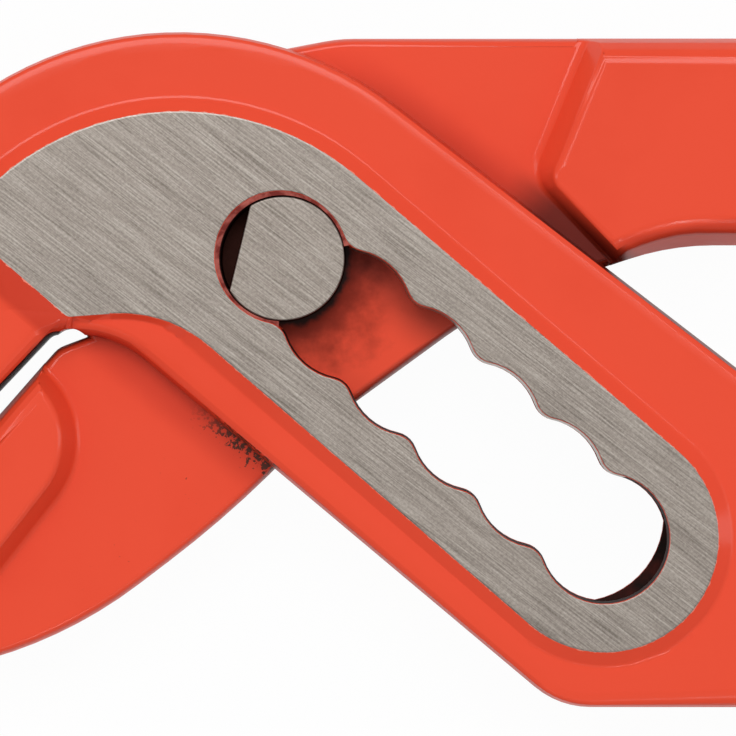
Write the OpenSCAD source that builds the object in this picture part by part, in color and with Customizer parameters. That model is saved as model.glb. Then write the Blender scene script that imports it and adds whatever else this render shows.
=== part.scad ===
// Water pump pliers with a box joint: a slotted lever, a tongue lever that
// passes between its two cheeks, and the pivot pin fixed in the tongue.
// The origin is on the pin axis, in the plane of the rear ground face.
// +X runs to the handle ends and +Z is the front of the tool.

/* [Pivot pin] */
// Diameter of the pivot pin
pin_d = 9.3; // [8.9:0.1:9.6]
// Radial play of the pin in the scallops of the slot
pin_play = 0.25; // [0.2:0.05:0.4]
// Play of the pin's flat in the necks of the slot
flat_play = 0.2; // [0.1:0.05:0.4]
// Direction of the flat at rest, from the X axis
flat_turn = 76.4; // [70:0.2:84]

/* [Adjusting slot] */
// Room behind the pin at the first position
end_play = 0.25; // [0:0.05:0.5]
// Number of pin positions along the slot
seat_count = 6; // [5:1:7]
// Distance from one pin position to the next
seat_pitch = 6.4; // [6:0.1:6.8]
// Rounding of the cusps between the scallops
cusp_r = 1.7; // [1.2:0.1:2.2]
// Direction of the slot, from the X axis
slot_angle = -41; // [-43:0.5:-39]
// Draft of the slot's walls
slot_draft = 2.2; // [0:0.2:2.4]
// How much sooner the slot ends in the rear cheek
rear_short = 0.75; // [0.4:0.05:1]
// Radius of the slot's end in the rear cheek
rear_end_r = 6.6; // [6:0.1:7.2]

/* [Thickness] */
// Thickness of the joint over its two ground faces
joint_t = 12; // [11.4:0.1:13]
// Height of each ground face over the forged rim
pad_rise = 0.8; // [0.5:0.05:1]
// Thickness of the tongue
tongue_t = 4.8; // [4.4:0.1:5.2]
// Play between the tongue and each cheek
side_play = 0.1; // [0.05:0.01:0.2]
// Rounding of the forged edges of the slotted lever at the joint and jaw
edge_r = 1; // [0.6:0.1:1.2]
// Rounding of the forged edges of the tongue lever at its jaw and handle block
block_r = 1.4; // [1:0.1:1.6]
// Rounding of the thin tongue's edges
web_r = 0.5; // [0.3:0.1:0.7]
// Rounding of the forged edges along the handles
grip_r = 3.2; // [2.4:0.1:3.6]
// Draft of the forged sides
draft = 6; // [3:0.5:7]

/* [Slotted lever] */
// Width of the ground face along the slot
pad_w = 17.1; // [16.5:0.1:17.5]
// How much the upper edge of the ground face spreads from the slot's direction
pad_lean = 0.45; // [0:0.05:0.9]
// Width of the sloped band round the ground face
pad_band = 1.05; // [0.7:0.05:1.3]
// Width of the sloped band at the jaw
jaw_band = 2.6; // [2:0.1:2.8]
// Radius of the crown over the pin
crown_r = 26.7; // [26:0.05:28]
// Width of the rim at the crown
crown_rim = 6.05; // [5.5:0.05:6.6]
// Place of the crown's centre along the slot
crown_u = 0.45; // [0:0.05:1]
// Width of the rim below the pin
lower_rim = 3.95; // [3.6:0.05:4.5]
// How much the lower edge leans from the slot's direction
lower_lean = 1; // [0:0.1:2]
// Width of the rim round the end of the slot
end_rim = 4.2; // [3.9:0.05:5]
// Direction of the back edge, from the X axis
back_angle = -37.6; // [-39:0.2:-36]
// Height of the throat below the pin axis
throat_drop = 5.7; // [5.4:0.1:6]
// Rounding of the throat
throat_r = 8; // [6:0.5:10]
// Distance from the slot's axis to the end of the ground face at the jaw
pad_jaw = 13.8; // [13:0.1:14]

/* [Jaws] */
// Distance of the jaw tips from the pin, along the jaws
jaw_reach = 48.6; // [44:0.2:52]
// Width of each jaw at its tip
tip_w = 6.1; // [5:0.1:6.6]
// Distance from the pin axis to the lower gripping line
grip_offset = 8.37; // [8.2:0.01:8.6]
// Gap between the gripping lines below the pin
jaw_gap = 0.34; // [0.3:0.02:0.6]
// Direction of the lower gripping line, from the X axis
grip_angle = 228.8; // [227.8:0.2:229.8]
// Angle between the two gripping lines at rest
jaw_taper = 2.2; // [1.8:0.1:3]
// Distance of the first tooth from the pin, along the jaws
teeth_start = 24; // [23:0.2:26]
// Length of the hollow pipe grip
hollow_l = 16.4; // [15:0.2:18]
// Depth of the hollow pipe grip
hollow_depth = 1.6; // [1:0.1:2]
// Number of teeth in the pipe grip
hollow_teeth = 8; // [6:1:10]
// Depth of the teeth in the pipe grip
hollow_tooth = 1; // [0.6:0.05:1.2]
// Number of teeth on the tip
tip_teeth = 7; // [5:1:9]
// Depth of the teeth on the tip
tip_tooth = 0.6; // [0.4:0.05:0.8]

/* [Tongue lever] */
// Radius of the tongue's round end inside the joint
tongue_r = 15.9; // [15.4:0.1:16.2]
// Play of the tongue's round end in the slotted lever
tongue_play = 0.5; // [0.4:0.05:0.8]
// Distance from the pin axis to the tongue's lower edge
tongue_edge = 11.95; // [11.4:0.05:12.2]
// Direction of the tongue's lower edge, from the X axis
tongue_slope = 36; // [34:0.5:38]
// Run of the jaw's shoulder from its foot to its top
shoulder_run = 1.1; // [0.8:0.1:1.4]
// Rounding of the shoulders at foot and top
shoulder_r = 0.6; // [0.2:0.05:0.7]
// Radius of the jaw's shoulder at its foot
jaw_shoulder_r = 6.8; // [6.4:0.1:7]

/* [Handles] */
// Distance from the pin axis to the top of the upper handle
upper_reach = 16.65; // [16.4:0.05:17.2]
// Width of the upper handle at its root
upper_w = 15.6; // [15:0.1:15.8]
// Width of the lower handle at its root
lower_w = 12.6; // [11.6:0.1:13]
// Width of both handles at their bow
bow_w = 12.4; // [11:0.1:13]
// Width of both handles at their ends
end_w = 10.6; // [10:0.1:12]
// Distance from the pin axis to the handle ends
handle_reach = 205.8; // [180:1:230]
// How far the handles bow outwards
handle_bow = 4.5; // [2:0.25:7]
// Opening angle that the box joint makes room for
open_angle = 60; // [56:1:62]

/* [Hidden] */
paint = "#e8533c";
steel = "#a59d93";
chord_error = 0.012;
over = 1;
far = 60;

rim_t = joint_t - 2 * pad_rise;
half_t = rim_t / 2;
mortise_t = tongue_t + 2 * side_play;
seat_r = pin_d / 2 + pin_play;
travel = (seat_count - 1) * seat_pitch;
cusp_v = sqrt(pow(seat_r + cusp_r, 2) - pow(seat_pitch / 2, 2));
neck_w = 2 * (cusp_v - cusp_r);
flat_reach = neck_w - pin_d / 2 - flat_play;
pad_half = pad_w / 2;
pad_arc_r = crown_r - crown_rim;
handle_low = along(travel, 0).y - pad_half - end_rim;
handle_start = 80;
handle_waist = 150;
bow_r = 380;
end_r = 4.6;
end_bow = 0.6;
tip_out_r = 2.4;
tip_in_r = 2.2;
tongue_rise = 10.3;
upper_root = [29.2, upper_reach - upper_w];
grip_from = 40;
grip_to = 85;

// Points and directions
function unit(v) = v / norm(v);
function ray(a) = [cos(a), sin(a)];
function clamp(t) = max(0, min(1, t));
function along(u, v) = u * ray(slot_angle) + v * ray(slot_angle + 90);
function along_at_y(v, y) = along((y - v * cos(slot_angle)) / sin(slot_angle), v);
function across(p) = p * ray(slot_angle + 90);
function arc_step(r) = min(12, 2 * acos(1 - chord_error / r));
function arc(c, r, a0, a1) =
  let (n = max(1, ceil(abs(a1 - a0) / arc_step(r))))
  [for (i = [0:n]) c + r * ray(a0 + (a1 - a0) * i / n)];

// A closed outline from corners, each [x, y, rounding radius], and runs of points
function rounded(p, q, n, r) =
  let (
    u = unit(p - q),
    w = unit(n - q),
    half = acos(u * w) / 2,
    c = q + unit(u + w) * r / sin(half),
    s = q + u * r / tan(half) - c,
    a0 = atan2(s.y, s.x),
    sweep = (180 - 2 * half) * sign(cross(q - p, n - q))
  )
  arc(c, r, a0, a0 + sweep);
function is_run(item) = is_list(item[0]);
function first(item) = is_run(item) ? item[0] : [item.x, item.y];
function final(item) = is_run(item) ? item[len(item) - 1] : [item.x, item.y];
function corner(p, r) = [p.x, p.y, r];
function outline(items) =
  let (n = len(items))
  [for (i = [0:n - 1])
    let (q = items[i], p = items[(i + n - 1) % n], s = items[(i + 1) % n])
    each is_run(q) ? q : q[2] > 0 ? rounded(final(p), first(q), first(s), q[2]) : [first(q)]];

// Outward direction at each point, long enough to keep parallel sides parallel
function miters(points) =
  let (n = len(points))
  [for (i = [0:n - 1])
    let (
      d1 = unit(points[i] - points[(i + n - 1) % n]),
      d2 = unit(points[(i + 1) % n] - points[i]),
      n1 = [d1.y, -d1.x],
      n2 = [d2.y, -d2.x]
    )
    (n1 + n2) / (1 + n1 * n2)];

// Triangles that fill a closed outline, one ear after another
function flat(p) = [p.x, p.y];
function inside(p, a, b, c) =
  cross(b - a, p - a) > 0 && cross(c - b, p - b) > 0 && cross(a - c, p - c) > 0;
function is_ear(points, left, k) =
  let (
    n = len(left),
    a = points[left[(k + n - 1) % n]],
    b = points[left[k]],
    c = points[left[(k + 1) % n]]
  )
  cross(b - a, c - b) > 0 && len([for (i = left) if (inside(points[i], a, b, c)) i]) == 0;
function next_ear(points, left, k = 0) =
  k == len(left) - 1 || is_ear(points, left, k) ? k : next_ear(points, left, k + 1);
function fill(points, left) =
  let (n = len(left), k = n > 3 ? next_ear(points, left) : 1)
  n == 3 ? [left] : concat(
    [[left[(k + n - 1) % n], left[k], left[(k + 1) % n]]],
    fill(points, [for (i = [0:n - 1]) if (i != k) left[i]])
  );

// A solid through level rings of equally many points, lowest first
module skin(rings) {
  n = len(rings[0]);
  last = len(rings) - 1;
  function cap(ring) = fill([for (p = rings[ring]) flat(p)], [for (i = [0:n - 1]) i]);
  polyhedron(
    points = [for (ring = rings) each ring],
    faces = concat(
      cap(0),
      [for (k = [0:last - 1], i = [0:n - 1])
        [k * n + i, (k + 1) * n + i, (k + 1) * n + (i + 1) % n, k * n + (i + 1) % n]],
      [for (t = cap(last)) [for (i = [2, 1, 0]) last * n + t[i]]]
    )
  );
}

// A drop forging about the mid-plane: straight in the middle, drafted beyond it, with rounded edges
edge_step = 22.5;
web_step = 45;
draft_min = 0.3;
parting = 0.5;
function edge_rings(step) = concat(
  [for (a = [90:-step:0]) [-1, a]],
  [[-1, -1], [1, -1]],
  [for (a = [0:step:90]) [1, a]]
);
function edges(points, r) =
  [for (p = points) r + (grip_r - r) * clamp((p.x - grip_from) / (grip_to - grip_from))];
module forging(points, half, middle, radii, step = edge_step) {
  out = miters(points);
  skin([for (ring = edge_rings(step))
    [for (i = [0:len(points) - 1])
      let (
        r = radii[i],
        side = ring[0],
        turn = ring[1],
        straight = min(middle, half - r - draft_min),
        rise = turn < 0 ? straight : half - r + r * sin(turn),
        inset = turn < 0 ? 0 : tan(draft) * (half - r - straight) + r * (1 - cos(turn)),
        p = points[i] - inset * out[i]
      )
      [p.x, p.y, side * rise]]]);
}

// A plate through levels, each [height, growth of the outline], with a growth for each point
module tapered(points, levels, growth) {
  out = miters(points);
  skin([for (level = levels)
    [for (i = [0:len(points) - 1])
      let (p = points[i] + level[1] * growth[i] * out[i])
      [p.x, p.y, level[0]]]]);
}

// Both faces of the tool
module both_faces() {
  children();
  mirror([0, 0, 1]) children();
}

// The jaws: s runs to the tip, d from the gripping line into the jaw's own metal
upper_angle = grip_angle - jaw_taper;
function upper(s, d) =
  (grip_offset + jaw_gap + d) * ray(upper_angle - 90) + s * ray(upper_angle);
function lower(s, d) =
  (grip_offset - d) * ray(grip_angle - 90) + s * ray(grip_angle);

// Profile of the teeth along the gripping line, as [s, d], with the crests ground off a little
crest = 0.04;
function hollow(s) =
  let (t = 2 * (s - teeth_start) / hollow_l - 1)
  abs(t) < 1 ? hollow_depth * (1 - t * t) : 0;
function teeth_row(s0, l, count, depth) =
  [for (i = [0:count - 1], half = [0, 1])
    let (s = s0 + (i + half / 2) * l / count)
    [s, crest + hollow(s) + half * depth]];
teeth_end = teeth_start + hollow_l;
teeth = concat(
  teeth_row(teeth_start, hollow_l, hollow_teeth, hollow_tooth),
  teeth_row(teeth_end, jaw_reach - teeth_end, tip_teeth, tip_tooth),
  [[jaw_reach, crest], [jaw_reach + over, -over], [jaw_reach, -2 * over], [teeth_start, -2 * over]]
);
module tooth_cut(points) {
  linear_extrude(joint_t, center = true) polygon(points);
}

// The slot, drawn along the X axis from the first pin position
seat_lean = asin(seat_pitch / 2 / (seat_r + cusp_r));
function slot_side(side) =
  [for (i = [0:seat_count - 2])
    each concat(
      i == 0 ? arc([-end_play, 0], seat_r, side * 180, side * 90) : [],
      arc([i * seat_pitch, 0], seat_r, side * (i == 0 ? 88 : 90 + seat_lean), side * (90 - seat_lean)),
      [for (p = arc([(i + 0.5) * seat_pitch, side * cusp_v], cusp_r,
                    -side * (90 + seat_lean), -side * (90 - seat_lean)))
        if (abs(p.x - (i + 0.5) * seat_pitch) < cusp_r * sin(seat_lean) - chord_error) p]
    )];
function slot_points(end_c, end_a, end_radius) =
  let (upper_side = slot_side(1))
  concat(
    slot_side(-1),
    arc([travel, 0], seat_r, -90 - seat_lean, -end_a.x),
    [for (p = arc([end_c, 0], end_radius, -end_a.y, end_a.y))
      if (abs(p.y) < end_radius * sin(end_a.y) - chord_error) p],
    arc([travel, 0], seat_r, end_a.x, 90 + seat_lean),
    [for (i = [len(upper_side) - 1:-1:1]) upper_side[i]]
  );
rear_c = travel + seat_r - rear_short - rear_end_r;
rear_meet = (pow(travel - rear_c, 2) + pow(rear_end_r, 2) - pow(seat_r, 2)) / (2 * (travel - rear_c));
rear_v = sqrt(pow(rear_end_r, 2) - pow(rear_meet, 2));
rear_angles = [atan2(rear_v, rear_meet - travel + rear_c), atan2(rear_v, rear_meet)];
slot_levels = [for (z = [0, joint_t / 2 + over]) [z, tan(slot_draft) * (z - joint_t / 2)]];
module slot_half(points) {
  tapered(points, slot_levels, [for (p = points) 1]);
}
module slot_cut() {
  rotate(slot_angle) {
    slot_half(slot_points(travel, [30, 30], seat_r));
    mirror([0, 0, 1]) slot_half(slot_points(rear_c, rear_angles, rear_end_r));
  }
}

// Ground face round the slot and over the pin, with its end at the jaw
crown_v = (pad_half - pad_arc_r - (travel - crown_u) * sin(pad_lean)) / cos(pad_lean);
crown_c = along(crown_u, crown_v);
pad_top_a = slot_angle + 90 + pad_lean;
pad_end_a = slot_angle + 180 + asin((pad_jaw + crown_v) / pad_arc_r);
corner_rest = 1.35;
corner_r = 0.8;
throat_rest = 1.85;
throat_band = 0.4;
pad_corner = along_at_y(-pad_jaw, -throat_drop + corner_rest);
pad_throat = along_at_y(-pad_half, -throat_drop + throat_rest);
pad_throat_r = 10.4;
pad_crown = arc(crown_c, pad_arc_r, pad_top_a, pad_end_a);
pad_turn = rounded(along(-2 * far, -pad_jaw), pad_corner, pad_throat, corner_r);
pad_jaw_side = final(pad_crown) + 0.3 * (pad_turn[0] - final(pad_crown));
pad_end = arc(along(travel, 0), pad_half, slot_angle - 90, pad_top_a);
pad_bend = rounded(pad_corner, pad_throat, along(0, -pad_half), pad_throat_r);
pad_points = concat(pad_end, pad_crown, [pad_jaw_side], pad_turn, pad_bend);
function mix(a, b, t) = a + (b - a) * clamp(t);
pad_bands = concat(
  [for (p = concat(pad_end, pad_crown)) pad_band],
  [jaw_band],
  [for (i = [0:len(pad_turn) - 1]) mix(jaw_band, throat_band, i / (len(pad_turn) - 1))],
  [for (p = pad_bend) mix(pad_band, throat_band, -pad_half - across(p))]
);
pad_inset = 0.4;
module pad() {
  intersection() {
    tapered(pad_points, [[half_t - pad_rise, 2], [half_t + pad_rise, 0]], pad_bands);
    translate([0, pad_inset, 0]) linear_extrude(joint_t) polygon(pad_limit);
  }
}

// Room for the tongue between the cheeks, at every pin position
shift = along(travel, 0);
mortise_r = upper_reach + tongue_play;
mortise_top_a = 90 + open_angle;
mortise_low_a = 262;
mortise_side = shift + [13.7, -9.5];
mortise_spread = 0.7;
mortise_points = concat(
  arc([0, 0], mortise_r, mortise_top_a, mortise_low_a),
  [
    mortise_r * ray(mortise_low_a) - [0, far],
    [mortise_side.x + mortise_spread, -far],
    mortise_side,
    shift + tongue_line(tongue_rise) + tongue_play * ray(tongue_slope - 90),
    shift + upper_root - [-0.2, tongue_play],
    [shift.x + far, far],
    mortise_r * ray(mortise_top_a) + far * ray(open_angle)
  ]
);

// Slotted lever: upper jaw, two cheeks and lower handle
handle_low_in = handle_low + lower_w;
crown_top = 90 + back_angle;
tip_out = upper(jaw_reach, tip_w);
tip_from_crown = tip_out - crown_c;
crown_end = atan2(tip_from_crown.y, tip_from_crown.x) + 360 - acos(crown_r / norm(tip_from_crown));
crown_start = crown_c + crown_r * ray(crown_top);
back_foot = crown_start + ray(back_angle) * (handle_low_in - crown_start.y) / sin(back_angle);
lower_foot = along(0, -pad_half - lower_rim);
lower_a = slot_angle + lower_lean;
function lower_edge(y) = lower_foot + ray(lower_a) * (y - lower_foot.y) / sin(lower_a);
throat_s = (-throat_drop - upper(0, 0).y) / sin(upper_angle);
lower_end_y = handle_low - end_bow * handle_bow;
back_r = 20;
lower_r = 6.5;
throat_corner_r = 1;
slotted_points = outline([
  [handle_reach, lower_end_y + end_w, end_r],
  [handle_waist, handle_low - handle_bow + bow_w, bow_r],
  [handle_start, handle_low_in, bow_r],
  corner(back_foot, back_r),
  arc(crown_c, crown_r, crown_top, crown_end),
  corner(tip_out, tip_out_r),
  corner(upper(jaw_reach, 0), tip_in_r),
  corner(upper(throat_s, 0), throat_corner_r),
  corner(lower_edge(-throat_drop), throat_r),
  corner(lower_edge(handle_low), lower_r),
  [handle_start, handle_low, bow_r],
  [handle_waist, handle_low - handle_bow, bow_r],
  [handle_reach, lower_end_y, end_r]
]);
pad_limit = [
  upper(jaw_reach, 0),
  upper(throat_s, 0),
  lower_edge(-throat_drop),
  lower_edge(handle_low),
  [far, handle_low],
  [far, far],
  [-far, far]
];
notch = upper(throat_s, 0) + [1.4, -1];
notch_r = 1.45;

module slotted_lever() {
  color(paint) translate([0, 0, joint_t / 2]) difference() {
    union() {
      forging(slotted_points, half_t, mortise_t / 2, edges(slotted_points, edge_r));
      both_faces() pad();
    }
    linear_extrude(mortise_t, center = true) polygon(mortise_points);
    slot_cut();
    tooth_cut([for (p = teeth) upper(p.x, p.y)]);
    translate(notch) cylinder(h = joint_t, r = notch_r, center = true, $fn = 48);
  }
}

// Tongue lever: lower jaw, tongue and upper handle
function tongue_line(t) = tongue_edge * ray(tongue_slope - 90) + t * ray(tongue_slope);
tongue_rise_r = 25;
tongue_fall = -6.8;
tongue_fall_r = 6;
upper_root_r = 20;
upper_end_y = upper_reach + end_bow * handle_bow;
top_x = 4.2;
top_r = 12;
top_angle = 89;
heel_angle = 201.6;
heel_s = 16.2;
heel_r = 2;
chin_tip = [-25, -31];
chin_tip_r = 30;
chin = [-15.95, -28.4];
chin_r = 34;
chin_end = [-3.65, -19.05];
chin_end_r = 80;
tongue_points = outline([
  [handle_reach, upper_end_y, end_r],
  [handle_waist, upper_reach + handle_bow, bow_r],
  [handle_start, upper_reach, bow_r],
  [top_x, upper_reach, top_r],
  arc([0, 0], tongue_r, top_angle, heel_angle),
  corner(lower(heel_s, 0), heel_r),
  corner(lower(jaw_reach, 0), tip_in_r),
  corner(lower(jaw_reach, tip_w), tip_out_r),
  corner(chin_tip, chin_tip_r),
  corner(chin, chin_r),
  corner(chin_end, chin_end_r),
  corner(tongue_line(tongue_fall), tongue_fall_r),
  corner(tongue_line(tongue_rise), tongue_rise_r),
  corner(upper_root, upper_root_r),
  [handle_start, upper_root.y, bow_r],
  [handle_waist, upper_reach + handle_bow - bow_w, bow_r],
  [handle_reach, upper_end_y - end_w, end_r]
]);

// Room for one cheek: it ends at the shoulders of the jaw and of the handle
jaw_shoulder = [-22.3, -13.7];
jaw_shoulder_a = [45, -38];
jaw_shoulder_top = jaw_shoulder + jaw_shoulder_r * ray(jaw_shoulder_a[0]);
jaw_shoulder_low = jaw_shoulder + jaw_shoulder_r * ray(jaw_shoulder_a[1]);
handle_shoulder = [18.7, 6.2];
handle_shoulder_r = 2.8;
handle_shoulder_a = [-46, 68.1];
handle_spread = [0.75, 1.45];
shoulder_l = 14;
waist_points = outline([
  corner(jaw_shoulder_top + shoulder_l * ray(jaw_shoulder_a[0] + 90), 0),
  arc(jaw_shoulder, jaw_shoulder_r, jaw_shoulder_a[0], jaw_shoulder_a[1]),
  corner(jaw_shoulder_low + 2 * shoulder_l * ray(jaw_shoulder_a[1] - 90), 0),
  [far / 2, -far, 0],
  corner(handle_shoulder + shoulder_l * ray(handle_shoulder_a[0]), 0),
  corner(handle_shoulder, handle_shoulder_r),
  corner(handle_shoulder + shoulder_l * ray(handle_shoulder_a[1]), 0),
  [-shoulder_l, far / 2, 0]
]);

// Section of a shoulder, as [height, run]: hollow at its foot, round at its top
shoulder_rise = half_t - tongue_t / 2;
shoulder_a = atan2(shoulder_rise, shoulder_run);
shoulder_in = shoulder_r * tan(shoulder_a / 2);
shoulder_steps = [0, 1 / 3, 2 / 3, 1];
foot_sink = 0.01;
shoulder = concat(
  [[-over, -shoulder_in]],
  [for (t = shoulder_steps)
    [tongue_t / 2 - foot_sink + shoulder_r * (1 - cos(t * shoulder_a)),
      shoulder_r * sin(t * shoulder_a) - shoulder_in]],
  [for (t = shoulder_steps)
    [half_t - shoulder_r * (1 - cos((1 - t) * shoulder_a)),
      shoulder_run + shoulder_in - shoulder_r * sin((1 - t) * shoulder_a)]],
  [[half_t + over, shoulder_run + shoulder_in]]
);
function handle_share(y) = (y - handle_shoulder.y) / handle_shoulder_r + 0.5;
waist_spread = [for (p = waist_points)
  p.x < 0 ? 1 : mix(handle_spread[0], handle_spread[1], handle_share(p.y))];
module waist() {
  tapered(waist_points, shoulder, waist_spread);
}

web_inset = 0.02;
module tongue_lever() {
  web_points = tongue_points - web_inset * miters(tongue_points);
  color(paint) translate([0, 0, joint_t / 2]) difference() {
    union() {
      difference() {
        forging(tongue_points, half_t, parting, edges(tongue_points, block_r));
        both_faces() waist();
      }
      forging(web_points, tongue_t / 2, parting, [for (p = web_points) web_r], web_step);
    }
    tooth_cut([for (p = teeth) lower(p.x, p.y)]);
    cylinder(h = joint_t, d = pin_d, center = true, $fn = 96);
  }
}

// Pivot pin: round in the tongue, flat on one side in both cheeks
module pivot_pin() {
  color(steel) difference() {
    cylinder(h = joint_t, d = pin_d, $fn = 96);
    for (z = [-over, (joint_t + tongue_t) / 2])
      rotate(flat_turn) translate([-pin_d, flat_reach, z])
        cube([2 * pin_d, pin_d, (joint_t - tongue_t) / 2 + over]);
  }
}

slotted_lever();
tongue_lever();
pivot_pin();
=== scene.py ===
import bpy
import math
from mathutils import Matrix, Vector


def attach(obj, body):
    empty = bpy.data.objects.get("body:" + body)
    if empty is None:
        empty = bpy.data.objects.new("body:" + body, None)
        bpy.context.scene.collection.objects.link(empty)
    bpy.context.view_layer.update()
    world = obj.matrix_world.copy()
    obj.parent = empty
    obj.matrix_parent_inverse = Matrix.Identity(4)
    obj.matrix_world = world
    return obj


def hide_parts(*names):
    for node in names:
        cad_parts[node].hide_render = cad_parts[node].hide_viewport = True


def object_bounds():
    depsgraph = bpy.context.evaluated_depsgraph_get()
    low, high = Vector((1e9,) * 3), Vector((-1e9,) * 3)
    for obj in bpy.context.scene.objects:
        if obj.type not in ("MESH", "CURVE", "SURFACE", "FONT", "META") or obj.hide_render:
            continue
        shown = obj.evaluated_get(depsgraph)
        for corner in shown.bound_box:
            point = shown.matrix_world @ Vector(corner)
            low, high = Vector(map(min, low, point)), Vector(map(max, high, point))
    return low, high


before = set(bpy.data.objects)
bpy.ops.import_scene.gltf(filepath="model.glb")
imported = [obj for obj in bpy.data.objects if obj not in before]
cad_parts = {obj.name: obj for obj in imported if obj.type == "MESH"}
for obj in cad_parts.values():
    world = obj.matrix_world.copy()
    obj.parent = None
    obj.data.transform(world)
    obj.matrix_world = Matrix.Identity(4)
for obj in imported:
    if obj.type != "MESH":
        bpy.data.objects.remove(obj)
cadLow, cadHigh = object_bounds()
mm = 0.001
scene = bpy.context.scene
midPlane = 6 * mm             # half way through the tool's thickness
rimHeight = 5.2 * mm          # painted faces, from the mid-plane
slotAngle = -41.0             # the slot's direction, from +X
bumpDepth = 0.2 * mm
noiseSpan = (0.3, 0.7)        # where most values of a noise lie
print("frame loaded:", sorted(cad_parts))


# small helpers
def wayAt(degrees):
    return Vector((math.cos(math.radians(degrees)), math.sin(math.radians(degrees)), 0))


def srgb(red, green, blue):
    def linear(c):
        c = c / 255
        return c / 12.92 if c <= 0.04045 else ((c + 0.055) / 1.055) ** 2.4
    return (linear(red), linear(green), linear(blue), 1)


# the values of a table between two of its rows, where a row starts with its place
def between(table, place):
    for (start, *first), (stop, *last) in zip(table, table[1:]):
        if start <= place < stop:
            part = (place - start) / (stop - start)
            return [a + part * (b - a) for a, b in zip(first, last)]
    return None


def deselectAll():
    if bpy.context.object and bpy.context.object.mode != "OBJECT":
        bpy.ops.object.mode_set(mode="OBJECT")
    bpy.ops.object.select_all(action="DESELECT")


def makeActive(piece):
    deselectAll()
    piece.select_set(True)
    bpy.context.view_layer.objects.active = piece


# helpers for node trees, where a value is a socket to link or else a plain number or colour
def addNode(tree, kind, place, **settings):
    node = tree.nodes.new(kind)
    node.location = place
    for name, value in settings.items():
        setattr(node, name, value)
    return node


def setInputs(node, **values):
    for name, value in values.items():
        node.inputs[name.replace("_", " ")].default_value = value


def feed(tree, socket, value):
    if isinstance(value, bpy.types.NodeSocket):
        tree.links.new(value, socket)
    else:
        socket.default_value = value


def addMath(tree, place, operation, *values):
    node = addNode(tree, "ShaderNodeMath", place, operation=operation)
    for socket, value in zip(node.inputs, values):
        feed(tree, socket, value)
    return node.outputs[0]


def addRange(tree, place, value, span, result, kind="LINEAR"):
    node = addNode(tree, "ShaderNodeMapRange", place, interpolation_type=kind)
    setInputs(node, From_Min=span[0], From_Max=span[1], To_Min=result[0], To_Max=result[1])
    tree.links.new(value, node.inputs["Value"])
    return node.outputs["Result"]


def addNoise(tree, place, vector, scale, detail, roughness):
    node = addNode(tree, "ShaderNodeTexNoise", place)
    setInputs(node, Scale=scale, Detail=detail, Roughness=roughness)
    tree.links.new(vector, node.inputs["Vector"])
    return node.outputs["Fac"]


def addRamp(tree, place, value, first, last):
    node = addNode(tree, "ShaderNodeValToRGB", place)
    for element, (position, colour) in zip(node.color_ramp.elements, (first, last)):
        element.position = position
        element.color = colour
    tree.links.new(value, node.inputs["Fac"])
    return node


# a Mix node keeps its numbers in inputs 2 and 3, and its colours in 6 and 7
def mixNumbers(tree, place, share, first, second):
    node = addNode(tree, "ShaderNodeMix", place, data_type="FLOAT")
    for number, value in zip((0, 2, 3), (share, first, second)):
        feed(tree, node.inputs[number], value)
    return node.outputs[0]


def mixColours(tree, place, share, first, second, blend="MIX"):
    node = addNode(tree, "ShaderNodeMix", place, data_type="RGBA", blend_type=blend)
    for number, value in zip((0, 6, 7), (share, first, second)):
        feed(tree, node.inputs[number], value)
    return node.outputs[2]


def addBump(tree, height, strength):
    node = addNode(tree, "ShaderNodeBump", (-200, -300))
    setInputs(node, Strength=strength, Distance=bumpDepth)
    tree.links.new(height, node.inputs["Height"])
    return node.outputs["Normal"]


def objectCoords(tree):
    return addNode(tree, "ShaderNodeTexCoord", (-1200, 0)).outputs["Object"]


def placeGroup(tree, place, group):
    return addNode(tree, "ShaderNodeGroup", place, node_tree=group).outputs


def newGroup(name, **outputs):
    group = bpy.data.node_groups.new(name, "ShaderNodeTree")
    for socketName, kind in outputs.items():
        group.interface.new_socket(socketName, in_out="OUTPUT", socket_type="NodeSocket" + kind)
    return group, addNode(group, "NodeGroupOutput", (1400, 0)).inputs


def newMaterial(name, **values):
    material = bpy.data.materials.new(name)
    material.use_nodes = True
    shader = material.node_tree.nodes["Principled BSDF"]
    setInputs(shader, **values)
    return material, material.node_tree, shader.inputs


# distance from the mid-plane
def heightOf(tree, coords):
    split = addNode(tree, "ShaderNodeSeparateXYZ", (-700, 400))
    tree.links.new(coords, split.inputs[0])
    centred = addMath(tree, (-500, 400), "SUBTRACT", split.outputs["Z"], midPlane)
    return addMath(tree, (-300, 400), "ABSOLUTE", centred)


# camera straight over the joint, as in the photograph
cameraSpec = {
    "pixels": 736,
    "pixelSize": 0.075 * mm,      # one photo pixel on the ground faces
    "aim": (6.41 * mm, -8.21 * mm, 12 * mm),
    "distance": 900 * mm,
    "sensor": 36.0,
    "clip": (10 * mm, 20),
}


def addCamera(spec):
    deselectAll()
    place = Vector(spec["aim"]) + Vector((0, 0, spec["distance"]))
    bpy.ops.object.camera_add(location=place, rotation=(0, 0, 0))
    camera = bpy.context.object
    camera.name = "jointCamera"
    frameWidth = spec["pixels"] * spec["pixelSize"]
    camera.data.sensor_width = spec["sensor"]
    camera.data.lens = spec["sensor"] * spec["distance"] / frameWidth
    camera.data.clip_start, camera.data.clip_end = spec["clip"]
    scene.camera = camera


addCamera(cameraSpec)
print("camera placed")


# white table top that keeps a faint shadow
floorSpec = {"size": 8.0, "at": (0.08, 0, 0), "seenWhite": 0.97, "colour": srgb(222, 222, 222)}


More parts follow.
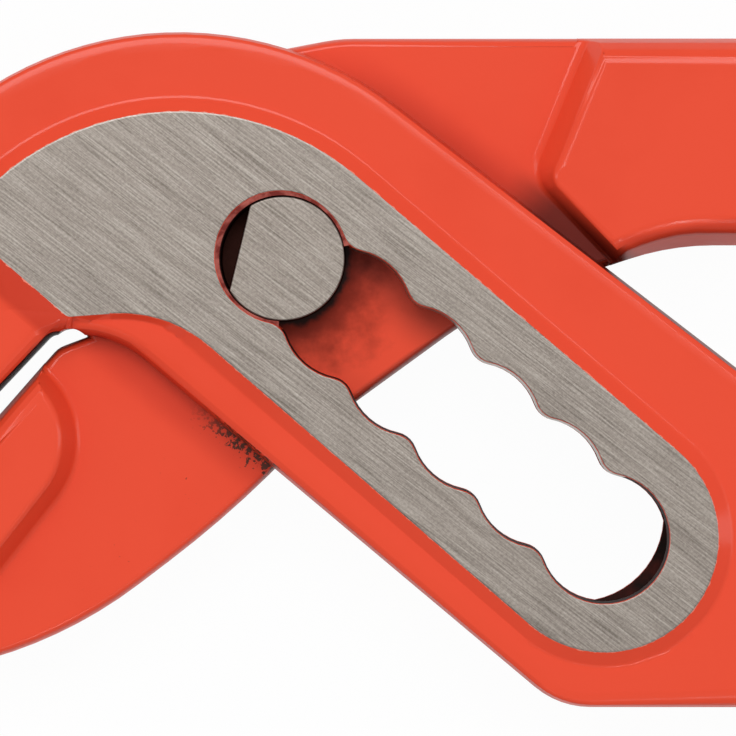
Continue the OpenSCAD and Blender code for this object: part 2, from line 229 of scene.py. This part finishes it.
def addFloor(spec):
    deselectAll()
    bpy.ops.mesh.primitive_plane_add(size=spec["size"], location=spec["at"])
    floor = bpy.context.object
    floor.name = "tableTop"
    material = bpy.data.materials.new("whiteTable")
    material.use_nodes = True
    tree = material.node_tree
    tree.nodes.clear()
    output = addNode(tree, "ShaderNodeOutputMaterial", (600, 0))
    mix = addNode(tree, "ShaderNodeMixShader", (400, 0))
    diffuse = addNode(tree, "ShaderNodeBsdfDiffuse", (200, 120))
    setInputs(diffuse, Color=spec["colour"])
    glow = addNode(tree, "ShaderNodeEmission", (200, -40))
    setInputs(glow, Strength=1.0)
    rays = addNode(tree, "ShaderNodeLightPath", (-440, 260)).outputs
    eyeOrGloss = addMath(tree, (-240, 260), "MAXIMUM", rays["Is Camera Ray"], rays["Is Glossy Ray"])
    seen = addMath(tree, (-60, 260), "MAXIMUM", eyeOrGloss, rays["Is Transmission Ray"])
    share = addMath(tree, (120, 260), "MULTIPLY", seen, spec["seenWhite"])
    for socket, value in zip(mix.inputs, (share, diffuse.outputs[0], glow.outputs[0])):
        tree.links.new(value, socket)
    tree.links.new(mix.outputs[0], output.inputs["Surface"])
    floor.data.materials.append(material)


addFloor(floorSpec)


# soft studio light: a pale room, a large box towards the top of the picture, strips on the other
# sides, and a small lamp whose reflection runs along the block's lower edge
lightSpec = {
    "room": 0.36,
    "lamps": [
        {"name": "keyBox", "at": (-0.08, 0.52, 1.16), "size": (0.8, 0.66), "watts": 8.5},
        {"name": "leftStrip", "at": (-1.0, 0.05, 0.8), "size": (0.3, 1.2), "watts": 2.5},
        {"name": "rightStrip", "at": (1.0, 0.05, 0.8), "size": (0.3, 1.2), "watts": 2.5},
        {"name": "footStrip", "at": (0.1, -0.6, 1.0), "size": (1.0, 0.06), "watts": 0.5},
        {"name": "glintLamp", "at": (0.13, -0.45, 0.95), "size": (0.02, 0.12), "watts": 0.3},
    ],
}


def addLights(spec):
    world = bpy.data.worlds.new("paleRoom")
    scene.world = world
    world.use_nodes = True
    setInputs(world.node_tree.nodes["Background"], Color=(1, 1, 1, 1), Strength=spec["room"])
    for lamp in spec["lamps"]:
        deselectAll()
        bpy.ops.object.light_add(type="AREA", location=lamp["at"])
        light = bpy.context.object
        light.name = lamp["name"]
        light.data.shape = "RECTANGLE"
        light.data.size, light.data.size_y = lamp["size"]
        light.data.energy = lamp["watts"]
        light.rotation_euler = (-Vector(lamp["at"])).to_track_quat("-Z", "Y").to_euler()
        light.visible_camera = False


addLights(lightSpec)
scene.view_settings.view_transform = "Standard"
print("floor and lights placed")


# ground steel: straight grinding lines on the two proud faces and the pin
steelSpec = {
    "dark": (0.34, srgb(108, 100, 92)),
    "plain": (0.5, srgb(145, 136, 128)),
    "pale": (0.66, srgb(176, 169, 160)),
    "roughness": (0.34, 0.52),
    "streakAngle": -37.5,         # grinding lines, from +X
    "fine": (230, 7600, 3),       # how many to a metre along and across, and detail
    "broad": (70, 1900, 2),
    "grain": (4600, 4600, 2),
    "broadShare": 0.3,
    "grainShare": 0.26,
    "lineBump": 0.06,
    "faceDepth": 0.03 * mm,       # how far below the ground plane still counts as ground
    "edgeDepth": 0.15 * mm,       # how far down the pin's broken edge is bare
    "rimDepth": 0.072 * mm,       # how far down the paint is thin at most
    "rimScale": 1500.0,
    "rimSpan": (0.35, 0.65),      # noise values from the widest rim to the thinnest
    "rimColour": srgb(234, 132, 112),
}


def grindingGroup(spec):
    group, outputs = newGroup("grindingLines", Color="Color", Roughness="Float", Height="Float")
    turned = addNode(group, "ShaderNodeMapping", (-900, 0), vector_type="TEXTURE")
    setInputs(turned, Rotation=(0, 0, math.radians(spec["streakAngle"])))
    group.links.new(objectCoords(group), turned.inputs["Vector"])

    def streaks(along, across, detail, place):
        stretch = addNode(group, "ShaderNodeMapping", (-500, place))
        setInputs(stretch, Scale=(along, across, 1))
        group.links.new(turned.outputs[0], stretch.inputs["Vector"])
        return addNoise(group, (-300, place), stretch.outputs[0], scale=1.0, detail=detail, roughness=0.6)

    fine = streaks(*spec["fine"], 200)
    broad = streaks(*spec["broad"], 0)
    grain = streaks(*spec["grain"], -200)
    lines = mixNumbers(group, (-80, 120), spec["broadShare"], fine, broad)
    rubbed = mixNumbers(group, (-80, -60), spec["grainShare"], lines, grain)
    ramp = addRamp(group, (280, 100), rubbed, spec["dark"], spec["pale"])
    position, colour = spec["plain"]
    ramp.color_ramp.elements.new(position).color = colour
    rough = addRange(group, (280, -160), lines, noiseSpan, spec["roughness"])
    group.links.new(ramp.outputs["Color"], outputs["Color"])
    group.links.new(rough, outputs["Roughness"])
    group.links.new(fine, outputs["Height"])
    return group


# Mask: the two ground planes; Rim: where the paint thins out below them; Edge: as far down as the pin is bare
def groundFaceGroup(spec):
    group, outputs = newGroup("groundFaces", Mask="Float", Rim="Float", Edge="Float")
    coords = objectCoords(group)
    away = heightOf(group, coords)
    half = (cadHigh.z - cadLow.z) / 2
    ragged = addNoise(group, (-300, -250), coords, scale=spec["rimScale"], detail=3.0, roughness=0.6)
    depth = addRange(group, (-120, -250), ragged, spec["rimSpan"], (half - spec["rimDepth"], half))
    limits = {"Mask": half - spec["faceDepth"], "Rim": depth, "Edge": half - spec["edgeDepth"]}
    for name, limit in limits.items():
        group.links.new(addMath(group, (200, 0), "GREATER_THAN", away, limit), outputs[name])
    return group


# grease and painted shade on the tongue round the pivot axis: a near-black seam at the pin that is painted
# shadow between pin and tongue, and a darkening film that thins outwards, painted shade of the recess with
# some grease
greaseAndShadeSpec = {
    "masks": {
        "Seam": {"reach": (4.75 * mm, 5.3 * mm), "strength": 1.0, "uneven": 0.3 * mm},
        "Film": {"reach": (4.7 * mm, 10.4 * mm), "strength": 0.7, "uneven": 1.5 * mm},
    },
    "colour": srgb(44, 24, 20),
    "greaseShadeTint": (0.06, 0.05, 0.06, 1),
    "tongueHalf": 2.5 * mm,
    "smearScale": 420.0,
}


def pivotGreaseShadeGroup(spec):
    group, outputs = newGroup("pivotGreaseShade", Seam="Float", Film="Float")
    coords = objectCoords(group)
    flatten = addNode(group, "ShaderNodeVectorMath", (-500, 0), operation="MULTIPLY")
    flatten.inputs[1].default_value = (1, 1, 0)
    distance = addNode(group, "ShaderNodeVectorMath", (-300, 0), operation="LENGTH")
    group.links.new(coords, flatten.inputs[0])
    group.links.new(flatten.outputs["Vector"], distance.inputs[0])
    smear = addNoise(group, (-500, -250), coords, scale=spec["smearScale"], detail=4.0, roughness=0.6)
    onTongue = addMath(group, (-300, 250), "COMPARE", heightOf(group, coords), 0.0, spec["tongueHalf"])
    for name, mask in spec["masks"].items():
        uneven = addRange(group, (-300, -500), smear, noiseSpan, (-mask["uneven"], mask["uneven"]))
        moved = addMath(group, (-100, 0), "ADD", distance.outputs["Value"], uneven)
        fade = addRange(group, (100, 0), moved, mask["reach"], (mask["strength"], 0.0), "SMOOTHSTEP")
        group.links.new(addMath(group, (500, 0), "MULTIPLY", fade, onTongue), outputs[name])
    return group


# painted shade in corners, in recesses and on roundings turned away from the key light, with dark dirt
# specks: each line has a point, the way out from the edge, how far it holds and reaches across it, and where
# it fades in and out along it, all in mm
shadeAndSpecksSpec = {
    "back": -0.3 * mm,
    "levels": {"low": (0, 4.9), "rim": (5.65, 0.42), "tongue": (0, 2.5), "edge": (4.45, 0.72)},
    "tints": {"Dark": (0.09, 0.07, 0.09, 1), "Warm": (0.36, 0.05, 0.05, 1)},
    # each line darkens the paint colour where shade falls: painted shade
    "lines": [
        {"at": (8.53, 11.54), "out": 52.4, "across": (0.1, 2.7), "strength": 0.3,
         "along": (-9, 3, 40, 41), "level": "low", "tint": "Warm"},
        {"at": (8.53, 11.54), "out": 52.4, "across": (1.1, 2.5), "strength": 0.8,
         "along": (9.5, 14.5, 40, 41), "level": "low", "tint": "Dark"},
        {"at": (-8.2, -9.43), "out": 230, "across": (1.2, 3.2), "strength": 0.28,
         "along": (-41, -40, 11, 12), "level": "low", "tint": "Warm"},
        {"at": (7.02, -9.67), "out": 126, "across": (0.3, 0.8), "strength": 0.6,
         "along": (-9, -8, 8, 9), "level": "low", "tint": "Dark"},
        {"at": (2.89, 3.32), "out": 229, "across": (0.3, 3.8), "strength": 0.42,
         "along": (-20, -18, 0, 1), "level": "tongue", "tint": "Dark"},
        {"at": (-9.05, -10.42), "out": 229, "across": (1.9, 2.7), "strength": 0.36,
         "along": (7.5, 9.5, 40, 41), "level": "rim", "tint": "Warm"},
        {"at": (29.85, 0.83), "out": 99.45, "across": (1.2, 1.75), "strength": 0.25,
         "along": (-7, -3, 15, 30), "level": "edge", "tint": "Warm"},
    ],
    "specks": {"at": (-8.2, -9.43), "out": 230, "across": (0, 2.0), "sparse": (0.47, 0.72),
               "along": (-11, -9.5, -6, -1.5), "level": "low", "scale": 2400.0},
    "speckColour": srgb(84, 42, 30),
}


# Dark and Warm are painted shade multiplied into the paint colour; Specks are dirt
def shadeAndSpecksGroup(spec):
    group, outputs = newGroup("cornerShadeAndSpecks", Dark="Float", Warm="Float", Specks="Float")
    coords = objectCoords(group)
    height = heightOf(group, coords)
    levels = {}
    for name, (centre, spread) in spec["levels"].items():
        levels[name] = addMath(group, (-100, 400), "COMPARE", height, centre * mm, spread * mm)

    def distance(line, turn, place):
        way = wayAt(line["out"] + turn)
        dot = addNode(group, "ShaderNodeVectorMath", (-500, place), operation="DOT_PRODUCT")
        dot.inputs[1].default_value = way
        group.links.new(coords, dot.inputs[0])
        start = way.dot(Vector((*line["at"], 0))) * mm
        return addMath(group, (-300, place), "SUBTRACT", dot.outputs["Value"], start)

    def fade(value, span, result, place):
        metres = [length * mm for length in span]
        return addRange(group, (-100, place), value, metres, result, "SMOOTHSTEP")

    def product(place, first, *others):
        for other in others:
            first = addMath(group, (300, place), "MULTIPLY", first, other)
        return first

    # 1 outside the edge, between the line's two ends and at its level
    def bounded(line, gap, place):
        run = distance(line, -90, place)
        begins = fade(run, line["along"][:2], (0, 1), place)
        ends = fade(run, line["along"][2:], (1, 0), place - 100)
        outside = addMath(group, (-100, place - 200), "GREATER_THAN", gap, spec["back"])
        return product(place, begins, ends, outside, levels[line["level"]])

    totals = {}
    for number, line in enumerate(spec["lines"]):
        place = -700 * number
        gap = distance(line, 0, place)
        across = fade(gap, line["across"], (line["strength"], 0), place)
        part = product(place, across, bounded(line, gap, place - 400))
        name = line["tint"]
        totals[name] = addMath(group, (500, place), "MAXIMUM", totals[name], part) if name in totals else part
    line = spec["specks"]
    gap = distance(line, 0, 700)
    dust = addNoise(group, (-300, 900), coords, scale=line["scale"], detail=3.0, roughness=0.7)
    spots = addMath(group, (300, 700), "GREATER_THAN", dust, fade(gap, line["across"], line["sparse"], 700))
    totals["Specks"] = product(900, spots, bounded(line, gap, 900))
    for name, total in totals.items():
        group.links.new(total, outputs[name])
    return group


grinding = grindingGroup(steelSpec)
groundFaces = groundFaceGroup(steelSpec)
pivotGreaseShade = pivotGreaseShadeGroup(greaseAndShadeSpec)
cornerShadeAndSpecks = shadeAndSpecksGroup(shadeAndSpecksSpec)


# enamel on the forgings, ground off on the two proud faces
enamelSpec = {
    "colour": (0.5, srgb(232, 76, 49)),
    "deepColour": (0.25, srgb(226, 70, 43)),
    "shadeScale": 55.0,
    "roughness": 0.4,
    "gloss": 0.06,
    "coat": 0.44,
    "coatRoughness": 0.15,
    "grazing": 0.1,               # share of the coat left at grazing angles
    "dulling": (0.35, 0.8),       # where the coat starts and stops losing its shine
    "peelScale": 900.0,
    "peelBump": 0.08,
}


def enamelMaterial(spec):
    gloss, coatRoughness = spec["gloss"], spec["coatRoughness"]
    material, tree, sockets = newMaterial("redEnamel", Specular_IOR_Level=gloss, Coat_Roughness=coatRoughness)
    coords = objectCoords(tree)
    lines = placeGroup(tree, (-800, -100), grinding)
    ground = placeGroup(tree, (-800, -300), groundFaces)
    greaseShade = placeGroup(tree, (-800, 400), pivotGreaseShade)
    shadeSpecks = placeGroup(tree, (-800, 600), cornerShadeAndSpecks)

    shade = addNoise(tree, (-1000, 200), coords, scale=spec["shadeScale"], detail=4.0, roughness=0.55)
    colour = addRamp(tree, (-800, 200), shade, spec["deepColour"], spec["colour"]).outputs["Color"]
    # painted shade round the pin: the film darkens the recess where shade falls, with some grease, and the
    # seam paints the shadow between pin and tongue
    colour = mixColours(tree, (-650, 300), greaseShade["Film"], colour, greaseAndShadeSpec["greaseShadeTint"], "MULTIPLY")
    colour = mixColours(tree, (-550, 300), greaseShade["Seam"], colour, greaseAndShadeSpec["colour"])
    # painted shade of the corners, recesses and roundings, then dirt specks
    for name, tint in shadeAndSpecksSpec["tints"].items():
        colour = mixColours(tree, (-500, 500), shadeSpecks[name], colour, tint, "MULTIPLY")
    colour = mixColours(tree, (-450, 700), shadeSpecks["Specks"], colour, shadeAndSpecksSpec["speckColour"])
    colour = mixColours(tree, (-400, 400), ground["Rim"], colour, steelSpec["rimColour"])
    colour = mixColours(tree, (-250, 200), ground["Mask"], colour, lines["Color"])
    rough = mixNumbers(tree, (-400, -60), ground["Mask"], spec["roughness"], lines["Roughness"])

    turning = addNode(tree, "ShaderNodeLayerWeight", (-800, -750))
    setInputs(turning, Blend=0.5)
    shine = (spec["coat"], spec["grazing"] * spec["coat"])
    dulled = addRange(tree, (-500, -750), turning.outputs["Facing"], spec["dulling"], shine)
    coat = mixNumbers(tree, (-250, -750), greaseShade["Film"], dulled, 0.0)

    peel = addNoise(tree, (-800, -500), coords, scale=spec["peelScale"], detail=2.0, roughness=0.5)
    height = mixNumbers(tree, (-400, -300), ground["Mask"], peel, lines["Height"])
    tree.links.new(colour, sockets["Base Color"])
    tree.links.new(ground["Mask"], sockets["Metallic"])
    tree.links.new(rough, sockets["Roughness"])
    tree.links.new(coat, sockets["Coat Weight"])
    tree.links.new(addBump(tree, height, spec["peelBump"]), sockets["Normal"])
    return material


def steelMaterial(spec):
    material, tree, sockets = newMaterial("groundSteel", Metallic=1.0)
    lines = placeGroup(tree, (-500, 0), grinding)
    ground = placeGroup(tree, (-500, 200), groundFaces)
    colour = mixColours(tree, (-250, 200), ground["Edge"], greaseAndShadeSpec["colour"], lines["Color"])
    tree.links.new(colour, sockets["Base Color"])
    tree.links.new(lines["Roughness"], sockets["Roughness"])
    tree.links.new(addBump(tree, lines["Height"], spec["lineBump"]), sockets["Normal"])
    return material


# plain bare metal: the jaw's gripping faces are dark steel made near-black as painted shade of the jaw gap
jawSteelShadeSpec = {"colour": srgb(30, 27, 26), "roughness": 0.5}
wallSpec = {"colour": srgb(172, 163, 153), "roughness": 0.4}


def bareMaterial(name, spec):
    return newMaterial(name, Metallic=1.0, Base_Color=spec["colour"], Roughness=spec["roughness"])[0]


# two uneven tones: old oil darkened to near-black as painted shade in the mortise and on the slot's lower
# walls, stained paint in the gap round the pin
innerOilShadeSpec = {"first": (0.42, srgb(34, 25, 22)), "last": (0.7, srgb(76, 32, 27)),
             "scale": 500.0, "roughness": 0.7, "gloss": 0.08}
lipSpec = {"first": (0.4, srgb(112, 40, 34)), "last": (0.6, srgb(168, 88, 78)),
           "scale": 900.0, "roughness": 0.6, "gloss": 0.1}


def smearedMaterial(name, spec):
    roughness, gloss = spec["roughness"], spec["gloss"]
    material, tree, sockets = newMaterial(name, Roughness=roughness, Specular_IOR_Level=gloss)
    smears = addNoise(tree, (-700, 0), objectCoords(tree), scale=spec["scale"], detail=3.0, roughness=0.6)
    ramp = addRamp(tree, (-450, 0), smears, spec["first"], spec["last"])
    tree.links.new(ramp.outputs["Color"], sockets["Base Color"])
    return material


stainedPaint = smearedMaterial("stainedPaint", lipSpec)
jawSteelAndShade = bareMaterial("bareJawSteelAndShade", jawSteelShadeSpec)
slotSteel = bareMaterial("bareSlotSteel", wallSpec)
oiledShadedMortise = smearedMaterial("oiledShadedMortise", innerOilShadeSpec)
redEnamel = enamelMaterial(enamelSpec)
groundSteel = steelMaterial(steelSpec)
print("materials made")


# hollow fillet at the foot of the sloped bands round the ground faces
bandFillet = {
    "width": 0.35 * mm, "segments": 4,
    "level": 0.999, "slope": (0.7, 0.985),       # normal z of the flat face and of the sloped one
    "near": 0.005 * mm,
    "clear": Vector((-14.5 * mm, -5 * mm)), "clearRadius": 7 * mm,
}


def filletBands(piece, spec):
    makeActive(piece)
    bpy.ops.object.mode_set(mode="EDIT")
    bpy.ops.mesh.select_mode(type="EDGE")
    bpy.ops.mesh.select_all(action="DESELECT")
    bpy.ops.object.mode_set(mode="OBJECT")
    mesh = piece.data
    slopes = {}
    for face in mesh.polygons:
        for key in face.edge_keys:
            slopes.setdefault(key, []).append(abs(face.normal.z))
    steepest, flattest = spec["slope"]
    for edge in mesh.edges:
        first, second = [mesh.vertices[v].co for v in edge.vertices]
        offRim = max(abs(abs(end.z - midPlane) - rimHeight) for end in (first, second))
        tilt = sorted(slopes[edge.key])
        clear = (((first + second) / 2).xy - spec["clear"]).length > spec["clearRadius"]
        sloped = len(tilt) == 2 and tilt[1] > spec["level"] and steepest < tilt[0] < flattest
        edge.select = clear and sloped and offRim < spec["near"]
    print(piece.name, "has", sum(edge.select for edge in mesh.edges), "edges at the foot of its bands")
    bpy.ops.object.mode_set(mode="EDIT")
    bpy.ops.mesh.bevel(offset=spec["width"], segments=spec["segments"], affect="EDGES")
    bpy.ops.object.mode_set(mode="OBJECT")


# edges to break: those that turn sharply, but for the places where fine edges crowd together
def weighEdges(mesh, spec):
    normals = {}
    for face in mesh.polygons:
        for key in face.edge_keys:
            normals.setdefault(key, []).append(face.normal)
    weights = mesh.attributes.new("bevel_weight_edge", "FLOAT", "EDGE")
    limit = math.cos(math.radians(spec["edgeAngle"]))
    for edge in mesh.edges:
        sides = normals[edge.key]
        middle = (mesh.vertices[edge.vertices[0]].co + mesh.vertices[edge.vertices[1]].co) / 2
        crowded = False
        for place, radius in spec["crowded"]:
            crowded = crowded or (middle.xy - Vector(place) * mm).length < radius * mm
        turns = len(sides) == 2 and sides[0].dot(sides[1]) < limit
        weights.data[edge.index].value = 1.0 if turns and not crowded else 0.0


# the block's lower side leans in more, with a wider rounding over it
blockSide = {
    "from": 22.5 * mm, "fadeIn": 7 * mm, "to": 60 * mm, "fade": 20 * mm, "low": -6 * mm, "high": 6 * mm,
    "leastTilt": 0.03, "down": -0.5, "left": -0.1,      # which ways its points face
    "moves": [                                          # height from the mid-plane, and how far inwards
        (2.6 * mm, 0.3 * mm), (3.8 * mm, 0.46 * mm), (4.34 * mm, 0.48 * mm), (4.79 * mm, 0.45 * mm),
        (5.09 * mm, 0.42 * mm), (5.2 * mm, 0.6 * mm), (5.3 * mm, 0.6 * mm),
    ],
}


def leanSide(piece, spec):
    moves = []
    for vertex in piece.data.vertices:
        x, y, z = vertex.co
        flatNormal = Vector((vertex.normal.x, vertex.normal.y, 0))
        inside = spec["from"] < x < spec["to"] and spec["low"] < y < spec["high"]
        if not inside or flatNormal.length <= spec["leastTilt"]:
            continue
        facing = flatNormal.normalized()
        inwards = between(spec["moves"], abs(z - midPlane))
        if inwards and facing.y < spec["down"] and flatNormal.x > spec["left"]:
            share = min(1, (spec["to"] - x) / spec["fade"], (x - spec["from"]) / spec["fadeIn"])
            moves.append((vertex, -facing * inwards[0] * share))
    for vertex, move in moves:
        vertex.co += move
    print(piece.name, "has", len(moves), "points moved on its lower side")


# the outer edges of the slotted lever: a shallow facet and then a sharper corner
outerEdges = {
    "radius": 1 * mm, "draft": math.tan(math.radians(6)),
    "rings": [                    # old depth and inset, new depth and inset, in mm
        (0, 1, 0, 0.8), (0.076, 0.617, 0.063, 0.35), (0.293, 0.293, 0.152, 0.06),
        (0.617, 0.076, 0.22, 0.01), (1, 0, 0.4, 0),
    ],
    "jaw": (-8 * mm, -3 * mm), "fade": 4 * mm, "handle": 60 * mm, "handleFade": 15 * mm,
    "slack": 0.005 * mm, "nextDepth": 0.02 * mm, "leastTilt": 0.01,
}


def facetEdges(piece, spec):
    mesh = piece.data
    depths = [rimHeight - abs(vertex.co.z - midPlane) for vertex in mesh.vertices]
    lowest = list(depths)                     # depth of each point's deepest neighbour
    for edge in mesh.edges:
        first, second = edge.vertices
        lowest[first] = max(lowest[first], depths[second])
        lowest[second] = max(lowest[second], depths[first])
    moves = []
    for vertex in mesh.vertices:
        x, y, z = vertex.co
        depth = depths[vertex.index]
        flatNormal = Vector((vertex.normal.x, vertex.normal.y, 0))
        pastJaw = max(x - spec["jaw"][0], y - spec["jaw"][1]) / spec["fade"]
        share = max(0, min(1, pastJaw, (spec["handle"] - x) / spec["handleFade"]))
        onEdge = -spec["slack"] < depth < spec["radius"] and lowest[vertex.index] > spec["nextDepth"]
        if not onEdge or share == 0 or flatNormal.length < spec["leastTilt"]:
            continue
        depth = max(0, depth) / mm
        inset, newDepth, newInset = between(spec["rings"], depth)
        lift = depth - newDepth
        out = inset - newInset - lift * spec["draft"]
        up = Vector((0, 0, lift if z > midPlane else -lift))
        moves.append((vertex, (flatNormal.normalized() * out + up) * mm * share))
    for vertex, move in moves:
        vertex.co += move
    print(piece.name, "has", len(moves), "points moved on its edges")


# paint that has run into the gap round the pin, just under each ground face
paintLip = {
    "inner": 4.73 * mm, "outer": 5.25 * mm, "depth": 0.1 * mm, "thickness": 0.12 * mm,
    "offAxis": 0.04 * mm, "from": 11, "to": 267, "steps": 80,
}


def addPaintLip(piece, spec):
    centre = -spec["offAxis"] * wayAt(slotAngle)
    for height in (spec["depth"], cadHigh.z - spec["depth"] - spec["thickness"]):
        deselectAll()
        bpy.ops.mesh.primitive_plane_add(size=1 * mm, location=(0, 0, 0))
        lip = bpy.context.object
        corners = [(spec["inner"], 0), (spec["outer"], 0), (spec["inner"], 1), (spec["outer"], 1)]
        for vertex, (radius, top) in zip(lip.data.vertices, corners):
            up = Vector((0, 0, height + top * spec["thickness"]))
            vertex.co = centre + radius * wayAt(spec["to"]) + up
        bpy.ops.object.mode_set(mode="EDIT")
        bpy.ops.mesh.select_all(action="SELECT")
        bpy.ops.mesh.delete(type="ONLY_FACE")
        bpy.ops.mesh.select_all(action="SELECT")
        turn = math.radians(spec["to"] - spec["from"])      # the spin runs clockwise
        bpy.ops.mesh.spin(steps=spec["steps"], angle=turn, center=centre, axis=(0, 0, 1))
        bpy.ops.mesh.select_all(action="SELECT")
        bpy.ops.mesh.fill_holes(sides=4)
        bpy.ops.mesh.normals_make_consistent(inside=False)
        bpy.ops.object.mode_set(mode="OBJECT")
        lip.data.materials.append(stainedPaint)
        print("paint lip has", len(lip.data.polygons), "faces")
        piece.select_set(True)
        bpy.context.view_layer.objects.active = piece
        bpy.ops.object.join()


# level faces shade dead flat, and the roundings beside them start from level
def levelFlats(mesh, spec):
    limit = math.cos(math.radians(spec["smoothAngle"]))
    level = {}
    for face in mesh.polygons:
        if abs(face.normal.z) > spec["level"]:
            for vertex in face.vertices:
                level[vertex] = 1 if face.normal.z > 0 else -1
    normals = [corner.vector.copy() for corner in mesh.corner_normals]
    for face in mesh.polygons:
        for corner in face.loop_indices:
            side = level.get(mesh.loops[corner].vertex_index, 0)
            if side * face.normal.z > limit:
                normals[corner] = Vector((0, 0, side))
    mesh.normals_split_custom_set(normals)


# the three pieces: merged copies of the solids, with softened edges
def softenedCopy(nodeName, pieceName, spec):
    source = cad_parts[nodeName]
    piece = source.copy()
    piece.data = source.data.copy()
    piece.parent = None
    piece.matrix_world.identity()
    piece.name = pieceName
    piece.data.name = pieceName
    scene.collection.objects.link(piece)
    makeActive(piece)
    bpy.ops.object.mode_set(mode="EDIT")
    bpy.ops.mesh.select_all(action="SELECT")
    bpy.ops.mesh.remove_doubles(threshold=spec["merge"])
    bpy.ops.object.mode_set(mode="OBJECT")
    if "fillet" in spec:
        filletBands(piece, spec["fillet"])
    weighEdges(piece.data, spec)
    bevel = piece.modifiers.new("brokenEdges", "BEVEL")
    bevel.limit_method = "WEIGHT"
    bevel.width = spec["edge"]
    bevel.segments = spec["edgeSegments"]
    bevel.loop_slide = False
    bevel.use_clamp_overlap = False
    bpy.ops.object.modifier_apply(modifier=bevel.name)
    for vertex in piece.data.vertices:      # corners that the bevel threw off the solid go back to it
        place = source.closest_point_on_mesh(vertex.co)[1]
        if (vertex.co - place).length > spec["edge"] / 2:
            vertex.co = place
    if "lean" in spec:
        leanSide(piece, spec["lean"])
    if "facet" in spec:
        facetEdges(piece, spec["facet"])
    bpy.ops.object.shade_smooth_by_angle(angle=math.radians(spec["smoothAngle"]))
    normals = piece.modifiers.new("flatFaces", "WEIGHTED_NORMAL")
    normals.weight = spec["normalWeight"]
    normals.keep_sharp = True
    bpy.ops.object.modifier_apply(modifier=normals.name)
    levelFlats(piece.data, spec)
    piece.data.materials.clear()
    return piece


def addMaterial(piece, material):
    piece.data.materials.append(material)
    return len(piece.data.materials) - 1


# the bare gripping faces of a jaw, found in the jaw's own directions
gripSpec = {"above": -0.3 * mm, "depth": 3 * mm, "facing": 0.15, "upright": 0.35}
upperJaw = gripSpec | {"angle": 226.6, "offset": 8.71 * mm, "side": 1, "start": 13.5 * mm}
lowerJaw = gripSpec | {"angle": 228.8, "offset": 8.37 * mm, "side": -1, "start": 23 * mm}


def bareGrip(piece, jaw):
    bare = addMaterial(piece, jawSteelAndShade)
    towards = wayAt(jaw["angle"])
    intoMetal = jaw["side"] * Vector((towards.y, -towards.x, 0))
    for face in piece.data.polygons:
        depth = face.center.dot(intoMetal) - jaw["side"] * jaw["offset"]
        inJaw = face.center.dot(towards) > jaw["start"] and jaw["above"] < depth < jaw["depth"]
        grips = -face.normal.dot(intoMetal) > jaw["facing"] and abs(face.normal.z) < jaw["upright"]
        if inJaw and grips:
            face.material_index = bare


# dark oil and painted shade in the room for the tongue and on the slot's walls, but for the bare walls along
# its upper side: the lower walls are darkened as painted shade
mortise = {
    "half": 2.7 * mm, "wallTop": 5.95 * mm, "levelFace": 0.9, "wallFace": 0.3, "upperFacing": 0.25,
    "slotHalf": 5.4 * mm, "slotEnds": (-6 * mm, 38 * mm), "pinRoom": 5.3 * mm, "lastSeat": 30 * mm,
}


def oiledShadedRoom(piece, spec):
    oilShadeIndex = addMaterial(piece, oiledShadedMortise)
    bare = addMaterial(piece, slotSteel)
    slotWay = wayAt(slotAngle)
    lower = Vector((slotWay.y, -slotWay.x, 0))
    start, stop = spec["slotEnds"]
    for face in piece.data.polygons:
        height = abs(face.center.z - midPlane)
        run = face.center.dot(slotWay)
        inSlot = abs(face.center.dot(lower)) < spec["slotHalf"] and start < run < stop
        inRoom = abs(face.normal.z) > spec["levelFace"] and height < spec["half"]
        onWall = abs(face.normal.z) < spec["wallFace"] and inSlot and face.center.xy.length > spec["pinRoom"]
        if inRoom or onWall and height < spec["wallTop"]:
            upperSide = onWall and face.normal.dot(lower) > spec["upperFacing"] and run < spec["lastSeat"]
            # lower walls take the dark material as painted shade, upper walls stay bare steel
            face.material_index = bare if upperSide else oilShadeIndex


pieceSpec = {
    "merge": 0.002 * mm, "edgeAngle": 30.0, "edge": 0.12 * mm, "edgeSegments": 2,
    "smoothAngle": 36.0, "normalWeight": 90, "level": 0.9999,
    "crowded": [((-16.5, -5.4), 3.5), ((-28, -17.5), 12.0), ((23.9, 0), 2.5)],
}
ownForms = {
    "slotted_lever": {"fillet": bandFillet, "facet": outerEdges},
    "tongue_lever": {"lean": blockSide},
}
pieces = {
    "slotted_lever": ("slottedLever", "slotted_lever", redEnamel, "red_paint", upperJaw),
    "tongue_lever": ("tongueLever", "tongue_lever", redEnamel, "red_paint", lowerJaw),
    "pivot_pin": ("pivotPin", "tongue_lever", groundSteel, "ground_steel", None),
}
for nodeName, (pieceName, bodyName, material, slotName, jaw) in pieces.items():
    piece = softenedCopy(nodeName, pieceName, pieceSpec | ownForms.get(nodeName, {}))
    addMaterial(piece, material)
    if jaw:
        bareGrip(piece, jaw)
    if pieceName == "slottedLever":
        oiledShadedRoom(piece, mortise)
        addMaterial(piece, stainedPaint)
        addPaintLip(piece, paintLip)
    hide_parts(nodeName)
    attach(piece, bodyName)
    print(pieceName, "has", len(piece.data.polygons), "faces")
